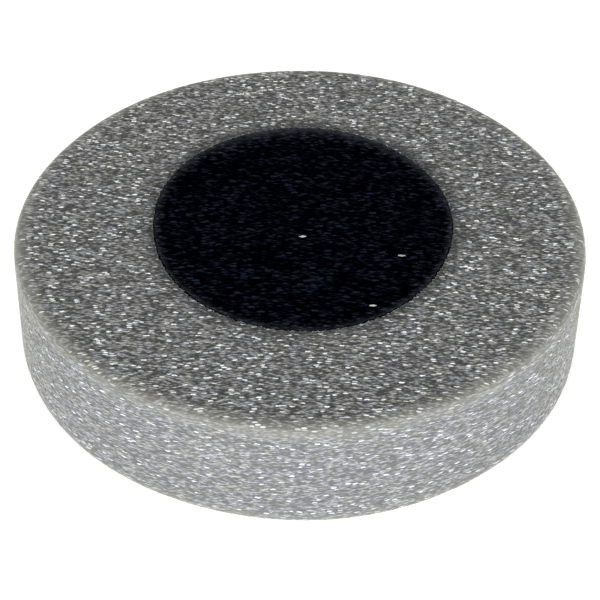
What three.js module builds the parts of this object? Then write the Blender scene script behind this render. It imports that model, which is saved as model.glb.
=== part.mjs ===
// Round sponge filter pad for an aquarium or pond filter, in two pieces of open-cell foam.
// A broad grey foam ring is cut from a thick sheet. A black foam core of the same thickness
// is pushed into the ring's bore and lies flush with both faces. The core is held by the
// spring of the foam alone, so it pushes out along the axis when the pad is rinsed.
//
// Units are millimetres and +Z is up. The origin is the centre of the underside, on the axis
// of the ring's outer wall.

import * as THREE from "three";

// The grey ring.
const RING_DIAMETER = 95;
const RING_HEIGHT = 20.6;
const RING_EDGE_ROUND = 1.6; // the cut foam relaxes into a soft round at its outer edges
const BORE_EDGE_ROUND = 0.5; // the bore's own rims
const BORE_OFFSET = 1.8; // how far the bore is cut off the ring's axis, towards +Y

// The black core, and how it sits in the bore.
const CORE_DIAMETER = 52;
const CORE_EDGE_ROUND = 0.5;
const CORE_SETBACK = 0; // how far each end of the core lies below the ring's face
const BORE_GAP = 0.3; // radial room round the core, where the real foams just touch

// How finely the round shapes are divided.
const SIDES = 96;
const ARC_STEPS = 2; // half the number of chords to a quarter round

const boreRadius = CORE_DIAMETER / 2 + BORE_GAP;
const coreHeight = RING_HEIGHT - 2 * CORE_SETBACK;

const foam = {
  grey: { color: 0x85868a, roughness: 0.9, metalness: 0 },
  black: { color: 0x0b0c12, roughness: 0.95, metalness: 0 },
};

// The half section of a round slab, as a closed outline in radius and height. It runs
// outwards along the underside, up the outer wall and back along the top face. A slab with
// no bore starts and ends on the axis.
function slabSection(innerRadius, outerRadius, height, innerRound, outerRound) {
  const outline = new THREE.Path();
  const bored = innerRadius > 0;
  outline.moveTo(innerRadius + (bored ? innerRound : 0), 0);
  outline.lineTo(outerRadius - outerRound, 0);
  outline.absarc(outerRadius - outerRound, outerRound, outerRound, -Math.PI / 2, 0);
  outline.lineTo(outerRadius, height - outerRound);
  outline.absarc(outerRadius - outerRound, height - outerRound, outerRound, 0, Math.PI / 2);
  outline.lineTo(innerRadius + (bored ? innerRound : 0), height);
  if (bored) {
    const rim = innerRadius + innerRound;
    outline.absarc(rim, height - innerRound, innerRound, Math.PI / 2, Math.PI);
    outline.lineTo(innerRadius, innerRound);
    outline.absarc(rim, innerRound, innerRound, Math.PI, (3 * Math.PI) / 2);
  }
  return outline.getPoints(ARC_STEPS);
}

// A named foam piece from a shape that was turned about +Y, stood up along +Z.
function foamPiece(name, turned, look) {
  const mesh = new THREE.Mesh(turned, new THREE.MeshStandardMaterial(look));
  mesh.name = name;
  mesh.rotation.x = Math.PI / 2; // the turned shape's -Z becomes +Y
  return mesh;
}

// The ring is turned about its own axis, and then its bore is moved off it. The bore with its
// rims moves as a whole, the outer wall stays, and the flat faces between them follow in
// proportion, so they stay flat.
function greyRing() {
  const outerRadius = RING_DIAMETER / 2;
  const section = slabSection(
    boreRadius,
    outerRadius,
    RING_HEIGHT,
    BORE_EDGE_ROUND,
    RING_EDGE_ROUND,
  );
  const turned = new THREE.LatheGeometry(section, SIDES);
  const faceOuter = outerRadius - RING_EDGE_ROUND;
  const faceInner = boreRadius + BORE_EDGE_ROUND;
  const points = turned.getAttribute("position");
  for (let i = 0; i < points.count; i += 1) {
    const radius = Math.hypot(points.getX(i), points.getZ(i));
    const share = THREE.MathUtils.clamp((faceOuter - radius) / (faceOuter - faceInner), 0, 1);
    points.setZ(i, points.getZ(i) - share * BORE_OFFSET);
  }
  return foamPiece("grey_foam_ring", turned, foam.grey);
}

function blackCore() {
  const section = slabSection(0, CORE_DIAMETER / 2, coreHeight, 0, CORE_EDGE_ROUND);
  const mesh = foamPiece("black_foam_core", new THREE.LatheGeometry(section, SIDES), foam.black);
  mesh.position.set(0, BORE_OFFSET, CORE_SETBACK);
  return mesh;
}

const spongeFilter = new THREE.Group();
spongeFilter.add(greyRing(), blackCore());

export default spongeFilter;
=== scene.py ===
# A round sponge filter pad in two pieces of open-cell polyurethane foam: a broad grey ring, and a
# black core pushed into its bore. The foam's cells are cut open over every face, so each face is
# a field of small pits between struts, and the cells are longest along X, the way the foam rose.
#
# The scene is in metres. The camera, the table and the lamps are given in metres too. The foam
# is given in millimetres, which become metres where a mesh is made.
import math

import bpy
import numpy as np
from mathutils import Matrix, Vector


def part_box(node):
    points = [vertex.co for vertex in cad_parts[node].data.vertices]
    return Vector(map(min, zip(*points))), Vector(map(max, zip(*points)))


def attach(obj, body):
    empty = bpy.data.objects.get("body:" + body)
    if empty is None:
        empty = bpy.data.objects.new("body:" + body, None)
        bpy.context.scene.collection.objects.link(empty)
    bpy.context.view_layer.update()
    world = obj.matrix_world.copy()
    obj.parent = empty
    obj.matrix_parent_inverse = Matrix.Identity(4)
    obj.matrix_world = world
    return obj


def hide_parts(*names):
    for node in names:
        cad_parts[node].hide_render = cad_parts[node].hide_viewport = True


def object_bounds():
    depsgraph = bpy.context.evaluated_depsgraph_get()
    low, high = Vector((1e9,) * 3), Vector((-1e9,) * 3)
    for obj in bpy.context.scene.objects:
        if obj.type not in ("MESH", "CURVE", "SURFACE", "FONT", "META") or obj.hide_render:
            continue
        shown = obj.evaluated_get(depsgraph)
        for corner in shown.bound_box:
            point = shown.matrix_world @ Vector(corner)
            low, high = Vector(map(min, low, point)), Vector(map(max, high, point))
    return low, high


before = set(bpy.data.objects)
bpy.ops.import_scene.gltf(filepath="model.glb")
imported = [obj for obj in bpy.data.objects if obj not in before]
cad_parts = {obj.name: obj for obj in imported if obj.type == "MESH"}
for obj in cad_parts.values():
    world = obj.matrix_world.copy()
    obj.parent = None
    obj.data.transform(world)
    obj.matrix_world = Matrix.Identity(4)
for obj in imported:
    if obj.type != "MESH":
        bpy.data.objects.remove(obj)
cad_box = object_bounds()


# ---------------------------------------------------------------- Camera
# The pad is seen from the front and above through a long lens. The camera is turned a little
# about its own axis, and it aims a little below the middle of the top face.
CAMERA_ELEVATION = math.radians(38.9)
CAMERA_DISTANCE = 0.3339  # from the middle of the top face
AIM_BELOW = math.radians(2.03)
CAMERA_ROLL = math.radians(0.94)
LENS, SENSOR = 120.3, 36.0  # focal length and sensor width in millimetres

top_middle = Vector((0, 0, cad_box[1][2]))
back = Vector((0, -math.cos(CAMERA_ELEVATION), math.sin(CAMERA_ELEVATION)))
aim = CAMERA_ELEVATION + AIM_BELOW
forward = Vector((0, math.cos(aim), -math.sin(aim)))
level_right = Vector((1, 0, 0))
level_up = level_right.cross(forward)
camera_right = math.cos(CAMERA_ROLL) * level_right + math.sin(CAMERA_ROLL) * level_up
camera_up = math.cos(CAMERA_ROLL) * level_up - math.sin(CAMERA_ROLL) * level_right

camera_data = bpy.data.cameras.new("camera")
camera_data.lens = LENS
camera_data.sensor_width = SENSOR
camera = bpy.data.objects.new("camera", camera_data)
turn = Matrix((camera_right, camera_up, -forward)).transposed().to_4x4()
camera.matrix_world = Matrix.Translation(top_middle + CAMERA_DISTANCE * back) @ turn
bpy.context.collection.objects.link(camera)
bpy.context.scene.camera = camera


# ---------------------------------------------------------------- Grey foam ring
# The ring is cut from thick sheet of grey filter foam, about 30 pores to the inch, and its bore
# is cut through with a round knife. The blade leaves the outline a little out of true, and opens
# every cell that it passes: some keep a shiny skin of foam across them, and each such skin gets a
# painted glint, a near-white highlight painted into the foam's colour.
MM = 0.001
RING_COLUMNS = 1600  # mesh columns round the ring
RING_SPACING = 0.165  # between mesh rows on the faces and the outer wall
RING_BORE_SPACING = 0.32  # between mesh rows on the bore's wall
UNDER_COARSER = 1.3  # the underside's rows against the top's
RING_EDGE_ROUND = 1.6
RING_BORE_ROUND = 0.2
FIT_GAP = 0.08  # the two foams touch, and this keeps their meshes apart
# How far each outline is out of true: waves by their size, number of lobes and crest in degrees.
# The bore's last three are the ragged cut of the knife through single cells.
RING_WANDER = ((0.15, 2, 40), (0.12, 3, 45), (0.06, 7, 20))
BORE_WANDER = ((0.2, 1, 0), (1.0, 2, 90), (0.12, 3, 20), (0.08, 5, 75),
               (0.05, 97, 10), (0.06, 171, 50), (0.05, 263, 70))

CELL = np.array([0.95, 0.44, 0.4])  # a cell's length, width and height
CELL_SCATTER = 0.95  # how far a cell's middle strays, as a share of the cell
STRUT_WIDTH = 0.16  # half the width of a strut, as a share of the cell
PIT_DEPTH = 0.12  # no pit looks deeper than this
SKIN_SHARE = 0.04  # the share of cells that keep a skin
SKIN_DEPTH = 0.03  # how far a skin hangs below the cut
BATCH = 60000  # points worked out at a time, to spare memory
RING_SEED = 11

SIDE_RATE = 0.75  # the map runs this much slower on the wall's sides, so streaks are longer there
WALL_COMBED = 1.35  # the blade combs the wall's streaks this much finer
GRAIN_LEAN = 0.22  # how much the foam's layers drop for each millimetre towards the back
RIM_REACH = 3.0  # how far the blade's drag shows from an outer edge
RIM_SHARE, RIM_CRUSH = 0.6, 0.7  # how strong it is at the edge, in colour and in the pits' depth
BORE_REACH = 3.0  # how far the painted shade where the black core shows through reaches into the grey foam
BORE_SHARE, BORE_FADE = 0.97, 1.1  # how dark that is at the bore, and how fast it fades
BORE_WALL_SHADE = 0.3  # how much of that painted shade the bore's own wall has


def wander(angle, waves):
    """The sum of cosine waves round the axis, each given as its size, its number of lobes and the
    angle of one crest in degrees."""
    total = np.zeros_like(angle)
    for size, lobes, crest in waves:
        total += size * np.cos(lobes * (angle - math.radians(crest)))
    return total


def straight(start, end, normal, step, stretch):
    """Evenly spaced points from start up to end, each with the same outward normal."""
    count = max(1, round(math.dist(start, end) / step))
    share = np.arange(count)[:, None] / count
    place = np.array(start) + share * (np.array(end) - np.array(start))
    return np.column_stack([place, np.tile(normal, (count, 1)), np.full(count, stretch)])


def corner(middle, radius, first, last, step, stretch):
    """Points of a circle's arc from the first angle up to the last, with their outward normals."""
    count = max(3, round(abs(last - first) * radius / step))
    angle = first + (last - first) * np.arange(count) / count
    normal = np.column_stack([np.cos(angle), np.sin(angle)])
    return np.column_stack([np.array(middle) + radius * normal, normal, np.full(count, stretch)])


TOP, WALL, UNDER, BORE = range(4)
QUARTER = math.pi / 2


def slab_section(inner, outer, height, inner_round, outer_round, spacing, inner_spacing):
    """The closed half section of a bored slab, as radius, height, outward normal and stretch.
    The stretches are the top face, the outer wall, the underside, and the bore with its corners.
    Each outer corner belongs half to its face and half to the wall."""
    inside, outside = inner + inner_round, outer - outer_round
    return np.concatenate([
        straight((inside, height), (outside, height), (0, 1), spacing, TOP),
        corner((outside, height - outer_round), outer_round, QUARTER, QUARTER / 2, spacing, TOP),
        corner((outside, height - outer_round), outer_round, QUARTER / 2, 0, spacing, WALL),
        straight((outer, height - outer_round), (outer, outer_round), (1, 0), spacing, WALL),
        corner((outside, outer_round), outer_round, 0, -QUARTER / 2, spacing, WALL),
        corner((outside, outer_round), outer_round, -QUARTER / 2, -QUARTER, spacing, UNDER),
        straight((outside, 0), (inside, 0), (0, -1), UNDER_COARSER * spacing, UNDER),
        corner((inside, inner_round), inner_round, 3 * QUARTER, 2 * QUARTER, spacing, BORE),
        straight((inner, inner_round), (inner, height - inner_round), (-1, 0), inner_spacing,
                 BORE),
        corner((inside, height - inner_round), inner_round, 2 * QUARTER, QUARTER, spacing, BORE),
    ])


def foam_pits(grain, inward, seed, round_count=None):
    """How the knife leaves the foam, from the cells of a Voronoi lattice whose points are
    scattered within their boxes. grain is each point's place in the lattice and inward the way
    into the foam there. A pit's depth is the way straight in to the far wall of the point's
    cell, and it fades to nothing at the struts. round_count is the number of cells in a full
    turn, where the lattice closes on itself. Gives the depth and a tone for each cell."""
    room = 2  # boxes to spare round the foam
    sidelong = 1e-3  # a cell wall that is met at less than this is never reached
    low = np.floor(grain.min(axis=0) / CELL).astype(int) - room
    size = np.ceil(grain.max(axis=0) / CELL).astype(int) + room + 1 - low
    if round_count:
        low[0] = 0
        size[0] = round_count
    draw = np.random.default_rng(seed)
    scatter = (0.5 + CELL_SCATTER * (draw.random((*size, 3)) - 0.5)).astype(np.float32)
    tones = draw.random((*size, 2)).astype(np.float32)
    # The way from a box to itself and to the 26 boxes round it.
    steps = np.stack(np.meshgrid(*[[-1, 0, 1]] * 3, indexing="ij"), axis=-1).reshape(-1, 3)
    result = np.empty((2, len(grain)), np.float32)
    for first in range(0, len(grain), BATCH):
        part = slice(first, first + BATCH)
        spot = (grain[part] / CELL - low).astype(np.float32)
        way_in = (inward[part] / CELL).astype(np.float32)
        box = np.floor(spot).astype(int)[None] + steps[:, None]
        key = (box[..., 0] % size[0], box[..., 1], box[..., 2])
        near = (box + scatter[key]).astype(np.float32)
        square = ((near - spot) ** 2).sum(axis=-1)
        mine = square.argmin(axis=0)
        row = np.arange(len(spot))
        beyond = square - square[mine, row]
        across = near - near[mine, row]
        beyond[mine, row] = np.inf
        width = np.linalg.norm(across, axis=-1)
        width[mine, row] = 1
        wall = (beyond / (2 * width)).min(axis=0)
        toward = (across * way_in).sum(axis=-1)
        way = np.where(toward > sidelong, beyond / (2 * np.maximum(toward, sidelong)), np.inf)
        rise = np.clip(wall / STRUT_WIDTH, 0, 1)
        rise = rise * rise * (3 - 2 * rise)
        tone = tones[key[0][mine, row], key[1][mine, row], key[2][mine, row]]
        has_skin = tone[:, 1] < SKIN_SHARE
        pit = np.minimum(way.min(axis=0), PIT_DEPTH)
        result[0, part] = np.where(has_skin, SKIN_DEPTH, pit) * rise
        result[1, part] = tone[:, 0]
    return result


def make_foam(name, place, normal, marks, faces, maps):
    """A foam piece from its outer surface. Each point is moved in by its pit's depth. The marks
    are kept on the points as attributes and the maps on the face corners, for the material."""
    moved = (place - marks["pit"][:, None] * normal) * MM
    mesh = bpy.data.meshes.new(name)
    mesh.vertices.add(len(moved))
    mesh.vertices.foreach_set("co", moved.astype(np.float32).ravel())
    mesh.loops.add(faces.size)
    mesh.loops.foreach_set("vertex_index", faces.astype(np.int32).ravel())
    mesh.polygons.add(len(faces))
    mesh.polygons.foreach_set("loop_start", np.arange(0, faces.size, 4, dtype=np.int32))
    mesh.update(calc_edges=True)
    for label, values in maps.items():
        layer = mesh.uv_layers.new(name=label)
        layer.uv.foreach_set("vector", values.astype(np.float32).ravel())
    for label, values in marks.items():
        attribute = mesh.attributes.new(label, "FLOAT", "POINT")
        attribute.data.foreach_set("value", values.astype(np.float32))
    piece = bpy.data.objects.new(name, mesh)
    bpy.context.collection.objects.link(piece)
    return piece


def linear(colour):
    """An sRGB hex colour as linear red, green, blue and full alpha."""
    parts = [int(colour[i:i + 2], 16) / 255 for i in (1, 3, 5)]
    curve = [p / 12.92 if p <= 0.04045 else ((p + 0.055) / 1.055) ** 2.4 for p in parts]
    return (*curve, 1.0)


def add_node(tree, kind, inputs=None, **settings):
    """Adds one node, sets its properties, and fills its inputs: a socket is linked and any other
    value is set."""
    node = tree.nodes.new(kind)
    for key, value in settings.items():
        setattr(node, key, value)
    for key, value in (inputs or {}).items():
        if isinstance(value, bpy.types.NodeSocket):
            tree.links.new(value, node.inputs[key])
        else:
            node.inputs[key].default_value = value
    return node


FOAM_IOR = 1.5
STREAK = (0.95, 0.26)  # length and width of the lit part of one cell
GLINT = (1.3, 0.4)  # length and width of the patch of foam that holds one skin and its painted glint
STREAK_TURN, GLINT_TURN = 0.6, 1.0  # radians between the grain and each pattern's own rows
SKIN_EDGE, SKIN_FULL = 0.4, 0.31  # half widths of a skin and of its painted glint's bright middle, in patches
GLINT_EVENNESS = 0.25  # the nearer to 0, the more painted glints are as bright as the brightest
SHADE, SHADE_EDGE = 0.75, 0.7  # the painted shade round a skin's glint: how dark, and how far out it reaches
PATCH = 3.0  # the size of a patch of lighter or darker foam
# How much a streak's own number, the way from its middle, the cell's tone, the patch and the
# pit's depth in millimetres count, the last as painted shade in the pits, and the sums that are
# the darkest and the lightest foam.
STREAK_WEIGHT, GAP_WEIGHT, CELL_WEIGHT, PATCH_WEIGHT, PIT_SHADE_WEIGHT = 0.75, -0.95, 0.05, 0.08, -0.4
DARKEST, LIGHTEST = -0.44, 0.7
SHARE, FIRST, SECOND, MIXED = 0, 6, 7, 2  # the sockets of a colour mix, and its outlet


def foam_light(tree, contrast, glint_share):
    """How light each spot of the foam is, from 0 in the bottom of a pit to 1 on a strut that
    catches the light, how much of it a skin's painted glint covers, and a number for each skin's
    patch. The dark of the pits is painted shade. Streaks as long as a cell differ one by one and
    darken to their edges, and patches of cells differ too. A skin's painted glint is an oval in
    the middle of its patch with painted shade in the pit round it, and the share of the patches
    that is given has one."""
    pit = add_node(tree, "ShaderNodeAttribute", attribute_name="pit").outputs["Fac"]
    tone = add_node(tree, "ShaderNodeAttribute", attribute_name="tone").outputs["Fac"]
    grain = add_node(tree, "ShaderNodeUVMap", uv_map="grain").outputs["UV"]
    patterns = []
    for (length, width), turn in ((STREAK, STREAK_TURN), (GLINT, GLINT_TURN)):
        scaled = add_node(tree, "ShaderNodeMapping", {
            "Vector": grain, "Scale": (1 / length, 1 / width, 1), "Rotation": (0, 0, turn)})
        patterns.append(add_node(tree, "ShaderNodeTexVoronoi", {
            "Vector": scaled.outputs["Vector"], "Scale": 1.0}, voronoi_dimensions="2D"))
    streaks, skins = patterns
    streak = add_node(tree, "ShaderNodeSeparateColor", {"Color": streaks.outputs["Color"]})
    patch = add_node(tree, "ShaderNodeTexNoise", {
        "Vector": grain, "Scale": 1 / PATCH, "Detail": 1.0})
    # The sum is partly painted shade: the deeper the pit, the darker.
    light = 0.0
    for value, weight in ((streak.outputs["Red"], STREAK_WEIGHT),
                          (streaks.outputs["Distance"], GAP_WEIGHT), (tone, CELL_WEIGHT),
                          (patch.outputs["Fac"], PATCH_WEIGHT), (pit, PIT_SHADE_WEIGHT)):
        light = add_node(tree, "ShaderNodeMath", {0: value, 1: weight, 2: light},
                         operation="MULTIPLY_ADD").outputs["Value"]
    light = add_node(tree, "ShaderNodeMapRange", {
        "Value": light, "From Min": DARKEST, "From Max": LIGHTEST}).outputs["Result"]
    light = add_node(tree, "ShaderNodeMath", {0: light, 1: contrast},
                     operation="POWER").outputs["Value"]
    draw = add_node(tree, "ShaderNodeSeparateColor", {"Color": skins.outputs["Color"]})
    oval = add_node(tree, "ShaderNodeMapRange", {
        "Value": skins.outputs["Distance"], "From Min": SKIN_EDGE, "From Max": SKIN_FULL})
    chosen = add_node(tree, "ShaderNodeMapRange", {
        "Value": draw.outputs["Red"], "From Min": 1 - glint_share, "From Max": 1.0})
    bright = add_node(tree, "ShaderNodeMath", {0: chosen.outputs["Result"], 1: GLINT_EVENNESS},
                      operation="POWER")
    # Painted shade in the pit round each painted glint.
    shade = add_node(tree, "ShaderNodeMapRange", {
        "Value": skins.outputs["Distance"], "From Min": SKIN_EDGE, "From Max": SHADE_EDGE,
        "To Min": -SHADE, "To Max": 0.0})
    shade = add_node(tree, "ShaderNodeMath", {
        0: shade.outputs["Result"], 1: bright.outputs["Value"], 2: 1.0}, operation="MULTIPLY_ADD")
    light = add_node(tree, "ShaderNodeMath", {0: light, 1: shade.outputs["Value"]},
                     operation="MULTIPLY").outputs["Value"]
    glint = add_node(tree, "ShaderNodeMath", {
        0: oval.outputs["Result"], 1: bright.outputs["Value"]}, operation="MULTIPLY")
    return light, glint.outputs["Value"], draw.outputs["Green"]


GREY_CONTRAST = 2.05  # above 1 the middle tones are darker
GREY_GLINT_SHARE = 0.14  # the share of patches that have a skin and its painted glint
WALL_LOSS = 0.5  # the share of the skins, with their painted glints, that the blade tears off the wall
# The pit colours are painted shade at the bottom of the pits, and the wall's pits get less of it.
GREY_PIT_SHADE = "#2C2C2B"
GREY_STRUT = "#C2C2C3"
GREY_WALL_PIT_SHADE = "#5F5F60"
GREY_WALL_STRUT = "#C2C3C7"
# The skin colours are painted glints, near-white highlights on the skins.
GREY_GLINT_COLOUR = "#FCFDFF"
GREY_WALL_GLINT_COLOUR = "#F2F4F8"
GREY_WARM, GREY_COOL = "#FFFFF2", "#F0F3FF"  # each patch is tinted between these two
GREY_RIM = "#86867B"
GREY_SHADOWED = "#15151A"  # painted shade where the black core shows through
STRUT_KEPT, SKIN_KEPT = 0.35, 0.3  # the light that a strut and a skin keep beside the black core
GREY_SHEEN = "#F6F6E6"  # cut strut ends stand out and catch the light where the foam turns away
SHEEN_ROUGHNESS = 0.3
STRUT_ROUGHNESS, SKIN_ROUGHNESS = 0.8, 0.3

# Grey polyurethane foam: a soft plastic, matt on its struts, with painted shade in its pits and a
# gloss and a painted glint on the skins that close a cell. The cut wall is combed flat by the
# blade, and its pits get less painted shade than those of the open faces, so it is lighter. The
# rims have yellowed a little, and painted shade darkens the grey round the bore, where the black
# core shows through.
grey_foam = bpy.data.materials.new("grey polyurethane foam")
grey_foam.use_nodes = True
tree = grey_foam.node_tree
tree.nodes.clear()
light, glint, number = foam_light(tree, GREY_CONTRAST, GREY_GLINT_SHARE)
wall_share, rim_share, bore_share = (
    add_node(tree, "ShaderNodeAttribute", attribute_name=label).outputs["Fac"]
    for label in ("wall", "rim", "bore"))
torn = add_node(tree, "ShaderNodeMath", {0: wall_share, 1: WALL_LOSS}, operation="MULTIPLY")
whole = add_node(tree, "ShaderNodeMath", {0: number, 1: torn.outputs["Value"]},
                 operation="GREATER_THAN")
glint = add_node(tree, "ShaderNodeMath", {0: glint, 1: whole.outputs["Value"]},
                 operation="MULTIPLY").outputs["Value"]
face_colour = add_node(tree, "ShaderNodeMix", {
    SHARE: light, FIRST: linear(GREY_PIT_SHADE), SECOND: linear(GREY_STRUT)}, data_type="RGBA")
wall_colour = add_node(tree, "ShaderNodeMix", {
    SHARE: light, FIRST: linear(GREY_WALL_PIT_SHADE), SECOND: linear(GREY_WALL_STRUT)}, data_type="RGBA")
colour = add_node(tree, "ShaderNodeMix", {
    SHARE: wall_share, FIRST: face_colour.outputs[MIXED], SECOND: wall_colour.outputs[MIXED]},
    data_type="RGBA")
# Painted shade round the bore: the grey darkens towards the black core, and its glints dim.
strut_loss = add_node(tree, "ShaderNodeMath", {0: light, 1: -STRUT_KEPT, 2: 1.0},
                      operation="MULTIPLY_ADD")
shadow = add_node(tree, "ShaderNodeMath", {0: bore_share, 1: strut_loss.outputs["Value"]},
                  operation="MULTIPLY")
colour = add_node(tree, "ShaderNodeMix", {
    SHARE: shadow.outputs["Value"], FIRST: colour.outputs[MIXED], SECOND: linear(GREY_SHADOWED)},
    data_type="RGBA")
glint_left = add_node(tree, "ShaderNodeMath", {0: bore_share, 1: SKIN_KEPT - 1, 2: 1.0},
                     operation="MULTIPLY_ADD")
glint = add_node(tree, "ShaderNodeMath", {0: glint, 1: glint_left.outputs["Value"]},
                 operation="MULTIPLY").outputs["Value"]
# Painted glints: where a skin is, the colour goes to near white.
glint_colour = add_node(tree, "ShaderNodeMix", {
    SHARE: wall_share, FIRST: linear(GREY_GLINT_COLOUR), SECOND: linear(GREY_WALL_GLINT_COLOUR)}, data_type="RGBA")
colour = add_node(tree, "ShaderNodeMix", {
    SHARE: glint, FIRST: colour.outputs[MIXED], SECOND: glint_colour.outputs[MIXED]},
    data_type="RGBA")
tint = add_node(tree, "ShaderNodeMix", {
    SHARE: number, FIRST: linear(GREY_WARM), SECOND: linear(GREY_COOL)}, data_type="RGBA")
colour = add_node(tree, "ShaderNodeMix", {
    SHARE: 1.0, FIRST: colour.outputs[MIXED], SECOND: tint.outputs[MIXED]},
    data_type="RGBA", blend_type="MULTIPLY")
colour = add_node(tree, "ShaderNodeMix", {
    SHARE: rim_share, FIRST: colour.outputs[MIXED], SECOND: linear(GREY_RIM)}, data_type="RGBA")
gloss = add_node(tree, "ShaderNodeMapRange", {
    "Value": glint, "To Min": STRUT_ROUGHNESS, "To Max": SKIN_ROUGHNESS})
shader = add_node(tree, "ShaderNodeBsdfPrincipled", {
    "Base Color": colour.outputs[MIXED], "Roughness": gloss.outputs["Result"], "IOR": FOAM_IOR,
    "Sheen Weight": 1.0, "Sheen Roughness": SHEEN_ROUGHNESS, "Sheen Tint": linear(GREY_SHEEN)})
add_node(tree, "ShaderNodeOutputMaterial", {"Surface": shader.outputs["BSDF"]})

ring_low, ring_high = (np.array(corner_point) / MM for corner_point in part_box("grey_foam_ring"))
core_low, core_high = (np.array(corner_point) / MM for corner_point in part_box("black_foam_core"))
ring_radius = (ring_high[0] - ring_low[0]) / 2
ring_height = ring_high[2] - ring_low[2]
core_radius = (core_high[0] - core_low[0]) / 2
core_middle = (core_low + core_high) / 2
bore_radius = core_radius + FIT_GAP

# The section is carried round the axis. The wall wanders about the ring's axis and the bore
# about the core's, and the faces between them go from the one to the other in proportion.
section = slab_section(bore_radius, ring_radius, ring_height, RING_BORE_ROUND, RING_EDGE_ROUND,
                       RING_SPACING, RING_BORE_SPACING)
stretch = section[:, 4].astype(int)
rows = len(section)
# The columns start at the back, where the maps have their seam.
angle = QUARTER + 2 * math.pi * np.arange(RING_COLUMNS + 1) / RING_COLUMNS
share = (section[:, 0] - bore_radius) / (ring_radius - bore_radius)
radius = (section[:, 0] + share * wander(angle, RING_WANDER)[:, None]
          + (1 - share) * wander(angle, BORE_WANDER)[:, None])
x = radius * np.cos(angle)[:, None] + (1 - share) * core_middle[0]
y = radius * np.sin(angle)[:, None] + (1 - share) * core_middle[1]
z = np.broadcast_to(section[:, 1], x.shape)
outward = np.broadcast_to(section[:, 2], x.shape)
upward = np.broadcast_to(section[:, 3], x.shape)
spots = np.stack([x, y, z], axis=-1)
normals = np.stack([outward * np.cos(angle)[:, None], outward * np.sin(angle)[:, None], upward],
                   axis=-1)
place = spots[:-1].reshape(-1, 3)
normal = normals[:-1].reshape(-1, 3)

# The lattice lies along X on the faces and runs round the walls.
pits = np.zeros((2, RING_COLUMNS, rows))
for part, turn_radius in ((TOP, None), (UNDER, None), (WALL, ring_radius), (BORE, bore_radius)):
    pick = stretch == part
    if turn_radius is None:
        grain = spots
        inward = -normals
        turns = None
    else:
        turns = round(2 * math.pi * turn_radius / CELL[0])
        run = np.broadcast_to(((angle - QUARTER) / (2 * math.pi) * turns * CELL[0])[:, None],
                              x.shape)
        grain = np.stack([run, np.broadcast_to(section[:, 0], x.shape), z], axis=-1)
        inward = -np.stack([np.zeros_like(x), outward, upward], axis=-1)
    grain = grain[:-1, pick].reshape(-1, 3)
    inward = inward[:-1, pick].reshape(-1, 3)
    pits[:, :, pick] = foam_pits(grain, inward, RING_SEED + part, turns).reshape(
        2, RING_COLUMNS, -1)

# How near each point lies to an outer edge, how upright the cut stands there, and how much
# painted shade the black core gives it, all from 0 to 1.
edge_level = np.minimum(section[:, 1], ring_height - section[:, 1])
from_edge = np.hypot(section[:, 0] - ring_radius, edge_level)
near_rim = np.clip(1 - from_edge / RIM_REACH, 0, 1)
on_wall = np.where((stretch == WALL) | (stretch == BORE), np.abs(section[:, 2]), 0)
near_bore = np.clip(1 - (section[:, 0] - bore_radius) / BORE_REACH, 0, 1)
on_face = np.where(stretch == BORE, np.abs(section[:, 3]), 1)
darkened = BORE_SHARE * near_bore ** BORE_FADE * (BORE_WALL_SHADE + (1 - BORE_WALL_SHADE) * on_face)
marks = {
    "pit": (pits[0] * (1 - RIM_CRUSH * near_rim)).ravel(), "tone": pits[1].ravel(),
    "rim": np.broadcast_to(RIM_SHARE * near_rim, pits[0].shape).ravel(),
    "wall": np.broadcast_to(on_wall, pits[0].shape).ravel(),
    "bore": np.broadcast_to(darkened, pits[0].shape).ravel(),
}

column, row = np.meshgrid(np.arange(RING_COLUMNS), np.arange(rows), indexing="ij")
columns = np.stack([column, column, column + 1, column + 1], axis=-1)
corner_rows = np.stack([row, row + 1, row + 1, row], axis=-1)
faces = (columns % RING_COLUMNS * rows + corner_rows % rows).reshape(-1, 4)

# The grain map gives millimetres along and across the foam's rise. The bake map lays the four
# stretches side by side on one square sheet, the wall in two halves.
steps = np.hypot(*np.diff(section[:, :2], axis=0, append=section[:1, :2]).T)
run_length = np.concatenate([[0], np.cumsum(steps)])
corner_part = np.broadcast_to(stretch[:, None], corner_rows.shape)
corner_x = x[columns, corner_rows % rows]
corner_y = y[columns, corner_rows % rows]
run_rate = np.maximum(np.abs(np.sin(angle)), SIDE_RATE)
run_along = np.concatenate([[0], np.cumsum((run_rate[1:] + run_rate[:-1]) / 2 * np.diff(angle))])
corner_round = run_along[columns] * ring_radius
corner_turned = (angle[columns] - QUARTER) * ring_radius
corner_way = run_length[corner_rows]
wall_layer = WALL_COMBED * (corner_way - GRAIN_LEAN * corner_y)
face_part = (corner_part == TOP) | (corner_part == UNDER)
grain_map = np.stack([np.where(face_part, corner_x, corner_round),
                      np.where(face_part, corner_y, wall_layer)], axis=-1)
SHEET = 160.0  # the side of the square sheet that the ring is laid out on
MARGIN = 1.0
UNDER_SCALE = 0.62  # the underside shows less than the top, and the bore still less
BORE_SCALE = 0.5
WALL_ROOM = 23.0  # the room for one half turn of the wall
disc_middle = ring_radius + MARGIN
under_middle = UNDER_SCALE * disc_middle + MARGIN
half_turn = column[..., None] >= RING_COLUMNS // 2
wall_start = run_length[np.argmax(stretch == WALL)]
bore_start = run_length[np.argmax(stretch == BORE)]
strip = math.pi * ring_radius
wall_rise = 2 * disc_middle + MARGIN + half_turn * WALL_ROOM
bore_rise = 2 * disc_middle + MARGIN + 2 * WALL_ROOM
choices = [corner_part == TOP, corner_part == UNDER, corner_part == WALL, corner_part == BORE]
bake_u = np.select(choices, [
    disc_middle + corner_x, 2 * disc_middle + under_middle + UNDER_SCALE * corner_x,
    MARGIN + corner_turned - half_turn * strip, MARGIN + BORE_SCALE * corner_turned])
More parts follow.
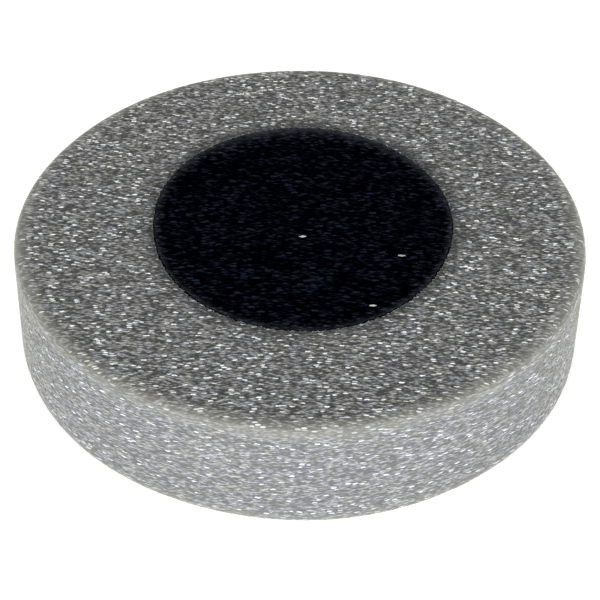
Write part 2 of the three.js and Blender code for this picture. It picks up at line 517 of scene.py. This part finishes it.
bake_v = np.select(choices, [
    disc_middle + corner_y, under_middle - UNDER_SCALE * corner_y,
    wall_rise + corner_way - wall_start,
    bore_rise + BORE_SCALE * (corner_way - bore_start)])
bake_map = np.stack([bake_u, bake_v], axis=-1) / SHEET

ring = make_foam("ring_foam", place, normal, marks, faces,
                 {"OFBake": bake_map.reshape(-1, 2), "grain": grain_map.reshape(-1, 2)})
ring.data.materials.append(grey_foam)
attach(ring, "ring")
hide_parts("grey_foam_ring")


# ---------------------------------------------------------------- Black foam core
# The core is a plug of black foam of the same grade and height. It is pushed into the bore by
# hand and is held by the spring of the foam alone, flush with both faces of the ring.
CORE_SQUARES = 260  # mesh squares across a face
CORE_SPACING = 0.2
CORE_EDGE_ROUND = 0.2
CORE_COARSENESS = np.array([1.35, 1.6])  # its streaks' length and width against the grey's
CORE_SEED = 23
UNDER_SHIFT = 200.0  # keeps the underside's streaks from repeating the top's

BLACK_ROUGHNESS = 0.85
BLACK_CONTRAST = 3.6
BLACK_GLINT_SHARE = 0.1
# painted shade at the bottom of the pits
BLACK_PIT_SHADE = "#000003"
BLACK_STRUT = "#1B2435"
BLACK_WARM_STRUT = "#242429"
BLACK_GLINT_COLOUR = "#1C2231"
BLACK_STRAY_GLINT = "#C8C8C0"  # a few loose skins get a bright painted glint
BLACK_EDGE_LIT_STRUT = "#4A4F5C"  # painted light on the struts near the edge
BLACK_EDGE_LIGHT = "#34363B"  # painted light on the edge itself
BLACK_EDGE_FADE = 4.0  # how fast that fades from the edge in
EDGE_LIGHT_EVENNESS = 0.4  # near 0 the painted edge light differs most from spot to spot
STRAY_LIMIT = 0.985  # skins whose number is above this are stray
EDGE_LIGHT_REACH = 2.1  # how far in from its edge the core gets painted light
EDGE_LIGHT_BACK = 3.6  # at the back the painted edge light reaches this much further in
FRONT_EDGE_LIGHT = 0.88  # the painted edge light at the front edge against the back's


def disc_grid(squares):
    """A square grid bent onto the unit disc by concentric rings: each square ring of the grid
    becomes a circle, and its points are evenly spaced round it."""
    side = np.linspace(-1, 1, squares + 1)
    across, along = np.meshgrid(side, side, indexing="ij")
    wide = np.abs(across) > np.abs(along)
    by_across = np.where(across == 0, 1, across)
    by_along = np.where(along == 0, 1, along)
    reach = np.where(wide, across, along)
    turn = np.where(wide, QUARTER / 2 * along / by_across,
                    QUARTER - QUARTER / 2 * across / by_along)
    return reach * np.cos(turn), reach * np.sin(turn)


# Black polyurethane foam: dyed through, with painted shade in its pits, so that only the struts
# that face the light show. Round its edge runs a lighter, bluer band of painted light, which
# stands for the light that comes through the grey foam, and its skins have painted glints.
black_foam = bpy.data.materials.new("black polyurethane foam")
black_foam.use_nodes = True
tree = black_foam.node_tree
tree.nodes.clear()
light, glint, number = foam_light(tree, BLACK_CONTRAST, BLACK_GLINT_SHARE)
rim_share = add_node(tree, "ShaderNodeAttribute", attribute_name="rim").outputs["Fac"]
strut_colour = add_node(tree, "ShaderNodeMix", {
    SHARE: number, FIRST: linear(BLACK_WARM_STRUT), SECOND: linear(BLACK_STRUT)}, data_type="RGBA")
# Painted light on the struts near the core's edge.
strut_colour = add_node(tree, "ShaderNodeMix", {
    SHARE: rim_share, FIRST: strut_colour.outputs[MIXED], SECOND: linear(BLACK_EDGE_LIT_STRUT)},
    data_type="RGBA")
colour = add_node(tree, "ShaderNodeMix", {
    SHARE: light, FIRST: linear(BLACK_PIT_SHADE), SECOND: strut_colour.outputs[MIXED]}, data_type="RGBA")
# Painted glints on the skins, a few of them bright.
stray = add_node(tree, "ShaderNodeMath", {0: number, 1: STRAY_LIMIT}, operation="GREATER_THAN")
glint_colour = add_node(tree, "ShaderNodeMix", {
    SHARE: stray.outputs["Value"], FIRST: linear(BLACK_GLINT_COLOUR), SECOND: linear(BLACK_STRAY_GLINT)},
    data_type="RGBA")
colour = add_node(tree, "ShaderNodeMix", {
    SHARE: glint, FIRST: colour.outputs[MIXED], SECOND: glint_colour.outputs[MIXED]},
    data_type="RGBA")
# Painted light round the core's edge, ragged from patch to patch.
edge_lit = add_node(tree, "ShaderNodeMath", {0: rim_share, 1: BLACK_EDGE_FADE}, operation="POWER")
ragged = add_node(tree, "ShaderNodeMath", {0: number, 1: EDGE_LIGHT_EVENNESS}, operation="ADD")
edge_share = add_node(tree, "ShaderNodeMath", {
    0: edge_lit.outputs["Value"], 1: ragged.outputs["Value"]}, operation="MULTIPLY", use_clamp=True)
colour = add_node(tree, "ShaderNodeMix", {
    SHARE: edge_share.outputs["Value"], FIRST: colour.outputs[MIXED], SECOND: linear(BLACK_EDGE_LIGHT)},
    data_type="RGBA")
shader = add_node(tree, "ShaderNodeBsdfPrincipled", {
    "Base Color": colour.outputs[MIXED], "Roughness": BLACK_ROUGHNESS, "IOR": FOAM_IOR,
    "Specular IOR Level": 0.0})
add_node(tree, "ShaderNodeOutputMaterial", {"Surface": shader.outputs["BSDF"]})

# Both faces are the same disc, and its outline wanders as the bore's does.
disc_x, disc_y = disc_grid(CORE_SQUARES)
distance = np.hypot(disc_x, disc_y).ravel()
bearing = np.arctan2(disc_y, disc_x).ravel()
flat_radius = core_radius - CORE_EDGE_ROUND
core_height = core_high[2] - core_low[2]
reach = distance * (flat_radius + wander(bearing, BORE_WANDER))
disc = np.column_stack([reach * np.cos(bearing), reach * np.sin(bearing)])
top = np.column_stack([disc, np.full(len(disc), core_high[2])])
under = np.column_stack([disc, np.full(len(disc), core_low[2])])
straight_up = np.tile([0.0, 0.0, 1.0], (len(disc), 1))

# The wall hangs between the borders of the two faces: a ladder of points under each border point.
grid = np.arange((CORE_SQUARES + 1) ** 2).reshape(CORE_SQUARES + 1, CORE_SQUARES + 1)
border = np.concatenate([grid[:-1, 0], grid[-1, :-1], grid[:0:-1, -1], grid[0, :0:-1]])
border_angle = np.unwrap(bearing[border])
wall_section = np.concatenate([
    corner((flat_radius, core_height - CORE_EDGE_ROUND), CORE_EDGE_ROUND, QUARTER, 0,
           CORE_SPACING, WALL),
    straight((core_radius, core_height - CORE_EDGE_ROUND), (core_radius, CORE_EDGE_ROUND),
             (1, 0), CORE_SPACING, WALL),
    corner((flat_radius, CORE_EDGE_ROUND), CORE_EDGE_ROUND, 0, -QUARTER, CORE_SPACING, WALL),
])[1:]
wall_radius = wall_section[:, 0] + wander(border_angle, BORE_WANDER)[:, None]
wall_level = np.broadcast_to(core_low[2] + wall_section[:, 1], wall_radius.shape)
wall_out = np.broadcast_to(wall_section[:, 2], wall_radius.shape)
wall_up = np.broadcast_to(wall_section[:, 3], wall_radius.shape)
wall_spots = np.stack([wall_radius * np.cos(border_angle)[:, None],
                       wall_radius * np.sin(border_angle)[:, None], wall_level], axis=-1)
wall_normals = np.stack([wall_out * np.cos(border_angle)[:, None],
                         wall_out * np.sin(border_angle)[:, None], wall_up], axis=-1)
place = np.concatenate([top, under, wall_spots.reshape(-1, 3)])
place += (core_middle[0], core_middle[1], 0)
normal = np.concatenate([straight_up, -straight_up, wall_normals.reshape(-1, 3)])

turns = round(2 * math.pi * core_radius / CELL[0])
run = (border_angle - border_angle[0]) % (2 * math.pi) / (2 * math.pi) * turns * CELL[0]
wall_grain = np.stack([np.broadcast_to(run[:, None], wall_radius.shape), wall_radius,
                       wall_level], axis=-1).reshape(-1, 3)
wall_inward = -np.stack([np.zeros_like(wall_out), wall_out, wall_up], axis=-1).reshape(-1, 3)
pits = np.concatenate([foam_pits(top, -straight_up, CORE_SEED),
                       foam_pits(under, straight_up, CORE_SEED + 1),
                       foam_pits(wall_grain, wall_inward, CORE_SEED + 2, turns)], axis=1)

face_points = len(top)
squares = np.stack([grid[:-1, :-1], grid[1:, :-1], grid[1:, 1:], grid[:-1, 1:]],
                   axis=-1).reshape(-1, 4)
levels = len(wall_section)
wall_index = 2 * face_points + np.arange(len(border) * levels).reshape(len(border), levels)
ladder = np.column_stack([border, wall_index, border + face_points])
after = np.roll(ladder, -1, axis=0)
rungs = np.stack([ladder[:, :-1], ladder[:, 1:], after[:, 1:], after[:, :-1]], axis=-1)
faces = np.concatenate([squares, squares[:, ::-1] + face_points, rungs.reshape(-1, 4)])
post, rung = np.meshgrid(np.arange(len(border)), np.arange(levels + 1), indexing="ij")
posts = np.stack([post, post, post + 1, post + 1], axis=-1)
rung_rows = np.stack([rung, rung + 1, rung + 1, rung], axis=-1)
rung_run = posts / len(border) * 2 * math.pi * core_radius
rung_climb = rung_rows / (levels + 1) * core_height
grain_map = np.concatenate([disc[squares], disc[squares[:, ::-1]] + UNDER_SHIFT,
                            np.stack([rung_run, rung_climb], axis=-1).reshape(-1, 4, 2)])
grain_map /= CORE_COARSENESS

# The bake map lays the two faces side by side and the wall above them in two halves.
CORE_SHEET = 100.0  # the side of the core's own sheet
CORE_DISC_ROOM = 1.5  # the core's outline wanders more than the ring's
core_disc = core_radius + CORE_DISC_ROOM
under_middle = UNDER_SCALE * core_disc + MARGIN
half_turn = post[..., None] >= len(border) // 2
bake_map = np.concatenate([
    disc[squares] + core_disc,
    UNDER_SCALE * disc[squares[:, ::-1]] * (1, -1) + (2 * core_disc + under_middle, under_middle),
    np.stack([MARGIN + rung_run - half_turn * math.pi * core_radius,
              2 * core_disc + 2 * MARGIN + rung_climb + half_turn * (core_height + MARGIN)],
             axis=-1).reshape(-1, 4, 2),
]) / CORE_SHEET

# The painted edge light is strongest at the edge and reaches in furthest at the back. The upright
# wall has none.
away = place[:, :2] - core_middle[:2]
outline = core_radius + wander(np.arctan2(away[:, 1], away[:, 0]), BORE_WANDER)
backward = np.clip(away[:, 1] / core_radius, 0, 1)
edge_light_reach = EDGE_LIGHT_REACH + EDGE_LIGHT_BACK * backward ** 2
core_rim = np.clip(1 - (outline - np.hypot(*away.T)) / edge_light_reach, 0, 1)
core_rim *= FRONT_EDGE_LIGHT + (1 - FRONT_EDGE_LIGHT) * backward ** 2
core_rim[2 * face_points:] *= np.abs(wall_normals.reshape(-1, 3)[:, 2])
core = make_foam("core_foam", place, normal,
                 {"pit": pits[0], "tone": pits[1], "rim": core_rim}, faces,
                 {"OFBake": bake_map.reshape(-1, 2), "grain": grain_map.reshape(-1, 2)})
core.data.materials.append(black_foam)
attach(core, "core")
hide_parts("black_foam_core")


# ---------------------------------------------------------------- Floor and light
# A plain white table in a white studio: light comes in low from all round, and three small lamps,
# the stronger two in front, give the skins of the foam something to mirror.
FLOOR_HALF = 4.0  # from the pad to each edge of the table
FLOOR_COLOUR = "#F4F4F4"
FLOOR_ROUGHNESS = 0.9
FLOOR_GLOSS = 0.1
FLOOR_GLOW = 0.35  # the table top is lit from below too
HORIZON, HORIZON_GLOW = 0.1, 1.0  # sine of the height above the table, and the light from there
ZENITH, ZENITH_GLOW = 0.8, 0.45

floor_mesh = bpy.data.meshes.new("floor")
floor_mesh.from_pydata([(-FLOOR_HALF, -FLOOR_HALF, 0), (FLOOR_HALF, -FLOOR_HALF, 0),
                        (FLOOR_HALF, FLOOR_HALF, 0), (-FLOOR_HALF, FLOOR_HALF, 0)], [],
                       [(0, 1, 2, 3)])
floor = bpy.data.objects.new("floor", floor_mesh)
bpy.context.collection.objects.link(floor)
floor_material = bpy.data.materials.new("white table top")
floor_material.use_nodes = True
tree = floor_material.node_tree
tree.nodes.clear()
shader = add_node(tree, "ShaderNodeBsdfPrincipled", {
    "Base Color": linear(FLOOR_COLOUR), "Roughness": FLOOR_ROUGHNESS,
    "Specular IOR Level": FLOOR_GLOSS, "Emission Color": (1, 1, 1, 1),
    "Emission Strength": FLOOR_GLOW})
add_node(tree, "ShaderNodeOutputMaterial", {"Surface": shader.outputs["BSDF"]})
floor_mesh.materials.append(floor_material)

world = bpy.data.worlds.new("studio")
bpy.context.scene.world = world
world.use_nodes = True
tree = world.node_tree
tree.nodes.clear()
direction = add_node(tree, "ShaderNodeTexCoord").outputs["Generated"]
rise = add_node(tree, "ShaderNodeSeparateXYZ", {0: direction}).outputs["Z"]
glow = add_node(tree, "ShaderNodeMapRange", {
    "Value": rise, "From Min": HORIZON, "From Max": ZENITH,
    "To Min": HORIZON_GLOW, "To Max": ZENITH_GLOW}).outputs["Result"]
sky = add_node(tree, "ShaderNodeBackground", {"Color": (1, 1, 1, 1), "Strength": glow})
add_node(tree, "ShaderNodeOutputWorld", {"Surface": sky.outputs["Background"]})


def softbox(name, bearing, elevation, distance, size, power):
    """A square lamp on a sphere round the pad, facing it, given by degrees, metres and watts."""
    data = bpy.data.lights.new(name, "AREA")
    data.shape = "SQUARE"
    data.size = size
    data.energy = power
    lamp = bpy.data.objects.new(name, data)
    turned, raised = math.radians(bearing), math.radians(elevation)
    level = math.cos(raised)
    way = Vector((level * math.cos(turned), level * math.sin(turned), math.sin(raised)))
    lamp.location = distance * way
    lamp.rotation_euler = way.to_track_quat("Z", "Y").to_euler()
    lamp.visible_camera = False
    bpy.context.collection.objects.link(lamp)


softbox("front_left", bearing=-125, elevation=25, distance=0.6, size=0.3, power=2.2)
softbox("front_right", bearing=-50, elevation=25, distance=0.6, size=0.3, power=2.0)
softbox("back", bearing=90, elevation=35, distance=1.0, size=0.3, power=1.0)

bpy.context.scene.view_settings.view_transform = "Standard"
